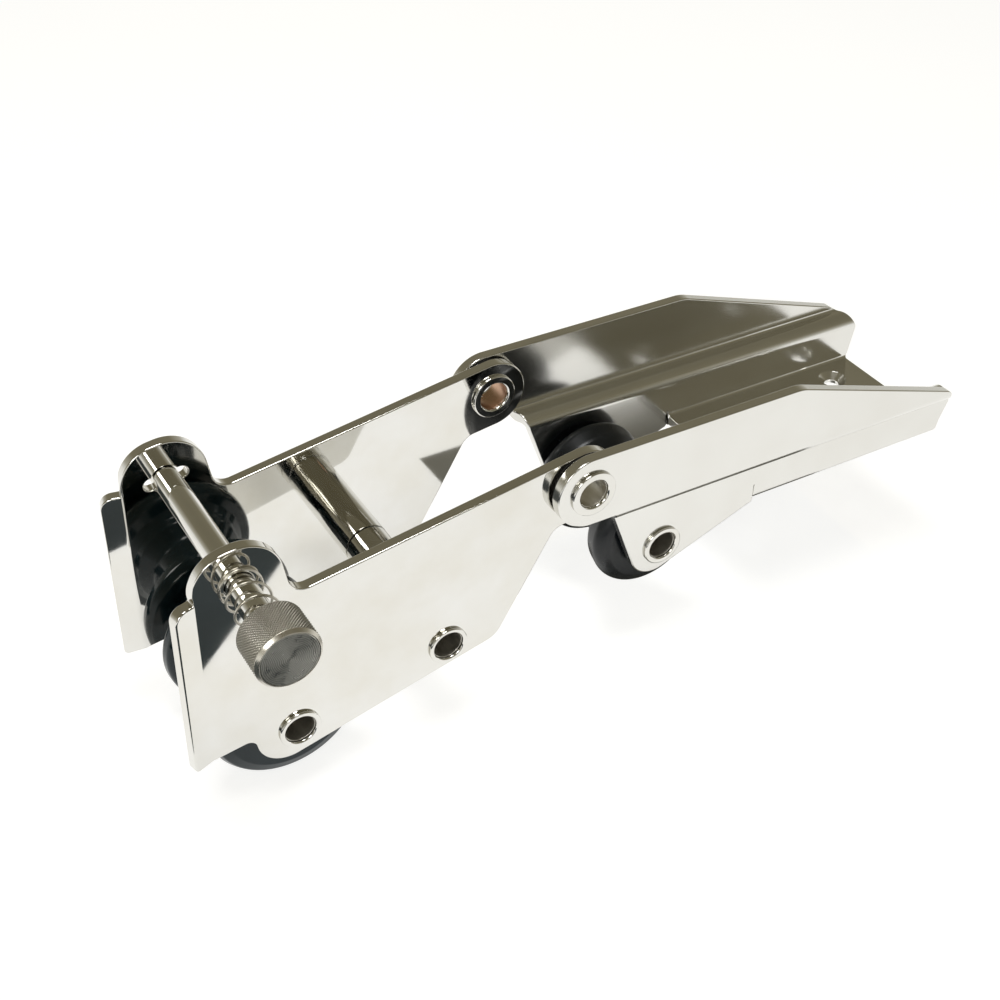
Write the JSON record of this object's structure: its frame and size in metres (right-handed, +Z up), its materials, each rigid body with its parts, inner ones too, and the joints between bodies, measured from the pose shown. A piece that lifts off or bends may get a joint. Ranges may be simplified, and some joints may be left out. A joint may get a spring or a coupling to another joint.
{
  "type": "bow roller",
  "caption": "Hinged stainless steel bow roller: a folded deck channel with a roller, and a tilting cradle with a guide sleeve, a front roller and a spring locking pin.",
  "frame": {"origin": "middle of the underside of the base plate, on the deck", "axes": "+X forward over the bow, along the roller's length; +Y to port; +Z up from the deck"},
  "size_m": [0.3116, 0.1037, 0.107],
  "materials": {
    "polished_steel": "mirror polished stainless steel",
    "turned_steel": "turned and knurled stainless steel",
    "roller_rubber": "glossy black moulded rubber",
    "bush_bronze": "bare machined bronze",
    "washer_nylon": "black nylon"
  },
  "bodies": {
    "base": {"deck_channel": "polished_steel", "deck_axle": "polished_steel", "hinge_bush_port": "bush_bronze", "hinge_bush_starboard": "bush_bronze", "hinge_washer_port": "washer_nylon", "hinge_washer_starboard": "washer_nylon", "deck_washer_port": "washer_nylon", "deck_washer_starboard": "washer_nylon"},
    "cradle": {"cradle_plate_port": "polished_steel", "cradle_plate_starboard": "polished_steel", "front_axle": "polished_steel", "front_washer_port": "washer_nylon", "front_washer_starboard": "washer_nylon", "guide_axle": "polished_steel", "guide_collar": "polished_steel"},
    "deck_roller": {"deck_roller": "roller_rubber", "deck_roller_bush": "bush_bronze"},
    "front_roller": {"front_roller": "roller_rubber", "front_roller_bush": "bush_bronze"},
    "guide_sleeve": {"guide_sleeve": "polished_steel"},
    "pin_spring": {"lock_spring": "polished_steel"},
    "locking_pin": {"lock_pin": "polished_steel", "lock_cross_pin": "polished_steel", "lock_knob": "turned_steel"}
  },
  "joints": [
    {"name": "cradle_tilt", "type": "hinge", "parent": "base", "child": "cradle", "pos_m": [0.1205, 0, 0.0359], "axis": [0, 1, 0], "range_deg": [-165, 55]},
    {"name": "deck_roller_spin", "type": "hinge", "parent": "base", "child": "deck_roller", "pos_m": [0.0833, 0, -0.0057], "axis": [0, 1, 0], "continuous": true},
    {"name": "front_roller_spin", "type": "hinge", "parent": "cradle", "child": "front_roller", "pos_m": [0.2247, 0, -0.0242], "axis": [0, 1, 0], "continuous": true},
    {"name": "guide_sleeve_spin", "type": "hinge", "parent": "cradle", "child": "guide_sleeve", "pos_m": [0.17076, 0, -0.01212], "axis": [0, 1, 0], "continuous": true},
    {"name": "pin_turn", "type": "hinge", "parent": "cradle", "child": "pin_spring", "pos_m": [0.24009, 0, 0.0424], "axis": [0, 1, 0], "range_deg": [0, 90]},
    {"name": "pin_push", "type": "slide", "parent": "pin_spring", "child": "locking_pin", "axis": [0, -1, 0], "range_m": [0, 0.008], "stiffness_N_per_m": 900, "springref_m": -0.006, "deforming": ["lock_spring"]}
  ]
}
